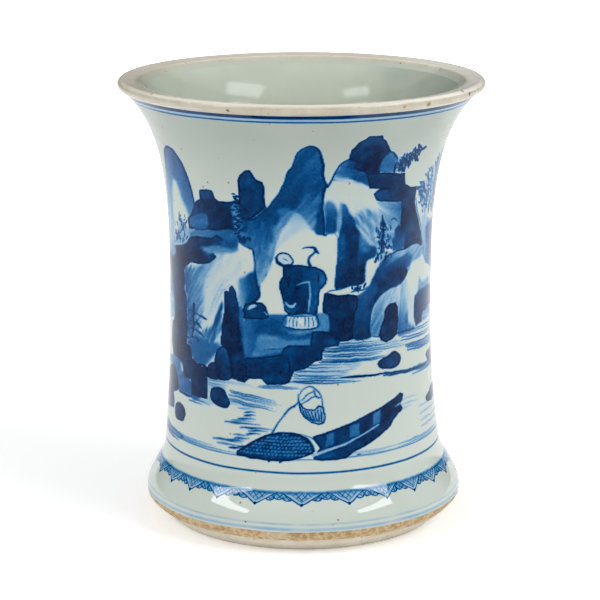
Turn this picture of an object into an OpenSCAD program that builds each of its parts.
// Waisted brush pot: a thrown porcelain cylinder with a flared lip and a spreading foot,
// fired once with its glaze, its bare foot and its dressed lip. +Z is up, z = 0 is the table.

/* [Overall] */
// Height from the table to the top of the lip
pot_h = 170; // [140:1:205]
// Diameter of the waist, over the glaze
waist_d = 100.8; // [84:0.2:122]
// Height of the waist above the table
waist_z = 92; // [75:1:112]
// How far the lip stands out past the waist, on each side
lip_flare = 19.35; // [16:0.05:24]

/* [Foot] */
// How far the foot's bulge stands out past the waist, on each side
bulge_flare = 10.9; // [9:0.1:14]
// Height of the bulge's widest line
bulge_z = 10; // [8:0.1:12.5]
// How far the ridge above the foot stands out past the waist
ridge_flare = 3.1; // [2:0.1:4]
// Height of the ridge above the foot
ridge_z = 29; // [24:0.5:35]
// Height of the bare sloping edge of the foot
bevel_h = 6; // [5:0.1:7.3]
// How far the top of the bare edge lies inside the bulge
bevel_top_in = 2.5; // [2:0.1:3]
// How far the resting ring's outer edge lies inside the bulge
rest_in = 9.6; // [8:0.1:11.6]

/* [Base] */
// Radius of the recess under the base
recess_r = 35; // [29:0.5:42]
// Depth of the recess under the base
recess_h = 2.4; // [2:0.1:3]
// Thickness of the floor over the recess
floor_t = 8; // [6.5:0.1:10]

/* [Wall] */
// Thickness of the wall at the waist
wall_t = 5.2; // [4.3:0.1:6.3]
// How much wider the well is just above its floor than at the waist, in radius
well_foot_flare = 1.2; // [1:0.1:1.5]
// Radius of the fillet round the floor of the well
well_fillet = 9; // [7.5:0.5:11]

/* [Lip] */
// Width of the lip's top, between its two rounded edges
lip_w = 3.9; // [3.2:0.1:4.7]
// Radius of the lip's outer edge
lip_outer_round = 1.9; // [1.5:0.05:2.3]
// Radius of the lip's inner edge
lip_inner_round = 3.2; // [2.6:0.1:3.8]
// How much lower the lip's inner edge is than its outer edge
lip_fall = 0.6; // [0.5:0.05:0.75]
// Height of the pale dressing down the outside of the lip
dressing_out_h = 4.2; // [3.5:0.1:5.1]
// Height of the pale dressing down the inside of the lip
dressing_in_h = 3.4; // [2.8:0.1:4.1]

/* [Skins] */
// Thickness of the glaze, the dressing and the grit over the porcelain
glaze_t = 0.4; // [0.3:0.02:0.5]

/* [Hidden] */
$fn = 180;
curve_steps = 12;      // straight runs in each long curve of the outline
edge_steps = 5;        // straight runs in each small rounded edge
lip_under_angle = -45; // where the lip's rounded outer edge starts, below its middle
throat_lean = 1.06;    // how far the flare moves out for each millimetre up, just under the lip

waist_r = waist_d / 2;
bulge_r = waist_r + bulge_flare;
ridge_r = waist_r + ridge_flare;
lip_r = waist_r + lip_flare;
rest_r = bulge_r - rest_in;
well_r = waist_r - wall_t;
floor_z = recess_h + floor_t;

// Corners that the curves meet at
lip_outer_c = [lip_r - lip_outer_round, pot_h - lip_outer_round];
lip_inner_c = [lip_outer_c[0] - lip_w, pot_h - lip_fall - lip_inner_round];
dressing_edge = [lip_outer_c[0] - 0.35, pot_h - dressing_out_h];
lip_inner_end = 180 - atan(throat_lean); // where the inner edge's arc meets the slope of the well
lip_inner_foot = lip_inner_c + lip_inner_round * [cos(lip_inner_end), sin(lip_inner_end)];
dressing_drop = lip_inner_foot[1] - pot_h + dressing_in_h;
dressing_foot = lip_inner_foot - dressing_drop * [throat_lean, 1];
bevel_top = [bulge_r - bevel_top_in, bevel_h];
ridge = [ridge_r, ridge_z];
waist = [waist_r, waist_z];

// Point of a cubic curve at s, from a to d with handles b and c
function cubic(a, b, c, d, s) =
    pow(1 - s, 3) * a + 3 * pow(1 - s, 2) * s * b + 3 * (1 - s) * s * s * c + pow(s, 3) * d;
// Points of a cubic curve, its first point left out so that curves can follow one another
function curve(a, b, c, d, n) = [for (k = [1 : n]) cubic(a, b, c, d, k / n)];
// Points of an arc about c, from angle a0 to a1
function arc(c, r, a0, a1, n) = [for (k = [0 : n]) let (a = a0 + (a1 - a0) * k / n) c + r * [cos(a), sin(a)]];
function span(p, a, b) = [for (k = [a : b]) p[k]];
function flip(p) = [for (k = [len(p) - 1 : -1 : 0]) p[k]];

// Foot: up round the bulge, and in along the cove to the ridge
ridge_lean = 0.11;     // how far the wall leans in for each millimetre up, at the ridge
grit_line = concat([bevel_top],
    curve(bevel_top, bevel_top + [1.5, 1.5], [bulge_r, bulge_z - 2], [bulge_r, bulge_z], edge_steps));
cove_line = curve([bulge_r, bulge_z], [bulge_r, bulge_z + 6.7], ridge + 6.5 * [ridge_lean, -1], ridge, curve_steps);
// Wall: from the ridge to the waist, and out to the dressing's edge under the lip
rise_low = waist_z - ridge_z;
rise_high = dressing_edge[1] - waist_z;
throat_pull = 0.2 * rise_high;
wall_line = concat(
    curve(ridge, ridge + 0.5 * rise_low * [-ridge_lean, 1], waist - [0, 0.1 * rise_low], waist, curve_steps),
    curve(waist, waist + [0, 0.45 * rise_high], dressing_edge - throat_pull * [throat_lean, 1], dressing_edge,
        curve_steps));
// Lip: a rounded outer edge, a nearly flat top that falls inwards, and an inner edge that rolls into the well
lip_line = concat(
    arc(lip_outer_c, lip_outer_round, lip_under_angle, 90, 2 * edge_steps),
    arc(lip_inner_c, lip_inner_round, 96, lip_inner_end, edge_steps),
    [dressing_foot]);
// Well: down the inside of the wall, round the fillet and in to the axis
well_foot = [well_r + well_foot_flare, floor_z + well_fillet];
drop_high = dressing_foot[1] - waist_z;
drop_low = waist_z - well_foot[1];
well_line = concat(
    curve(dressing_foot, dressing_foot - 0.19 * drop_high * [throat_lean, 1],
        [well_r, waist_z + 0.45 * drop_high], [well_r, waist_z], curve_steps),
    curve([well_r, waist_z], [well_r, waist_z - 0.4 * drop_low], well_foot + [0, 0.3 * drop_low], well_foot,
        curve_steps),
    [for (k = [1 : edge_steps]) let (a = 90 * k / edge_steps)
        well_foot + well_fillet * [cos(a) - 1, -sin(a)]],
    [[0, floor_z]]);

// One line over the whole fired surface, and the same line a glaze thickness further in
surface_line = concat(grit_line, cove_line, wall_line, lip_line, well_line);
grit_end = len(grit_line) - 1;
glaze_end = grit_end + len(cove_line) + len(wall_line);
dressing_end = glaze_end + len(lip_line);
surface_end = len(surface_line) - 1;
function inward(p, k) =
    let (v = p[min(k + 1, len(p) - 1)] - p[max(k - 1, 0)])
    k == len(p) - 1 ? [0, -1] : [-v[1], v[0]] / norm(v);
clay_line = [for (k = [0 : surface_end]) surface_line[k] + glaze_t * inward(surface_line, k)];

// A skin that lies on the porcelain between two places on the surface line
module skin(a, b) {
    rotate_extrude() polygon(concat(span(surface_line, a, b), flip(span(clay_line, a, b))));
}

// Thrown and turned body: floor, wall, lip and foot, bare on its bevel and its resting ring
module porcelain_body() {
    color("#d8cdb6") rotate_extrude() polygon(concat(
        [[0, recess_h], [recess_r, recess_h], [recess_r + 1, 0], [rest_r, 0], bevel_top],
        clay_line));
}

// Clear pale glaze outside, from the grit line on the foot up to the dressed lip
module outer_glaze() {
    color("#c6cfc6") skin(grit_end, glaze_end);
}

// Glaze inside the well, down the wall and over the floor
module inner_glaze() {
    color("#c3ccbb") skin(dressing_end, surface_end);
}

// Cream dressing over the lip
module rim_dressing() {
    color("#d3c6a6") skin(glaze_end, dressing_end);
}

// Disc of glaze in the recess under the base
module base_glaze() {
    color("#cdd4cc") translate([0, 0, recess_h - glaze_t]) cylinder(h = glaze_t, r = recess_r);
}

// Rough brown crust of kiln sand round the foot, below the glaze line
module foot_grit() {
    color("#a98e68") skin(0, grit_end);
}

porcelain_body();
outer_glaze();
inner_glaze();
rim_dressing();
base_glaze();
foot_grit();
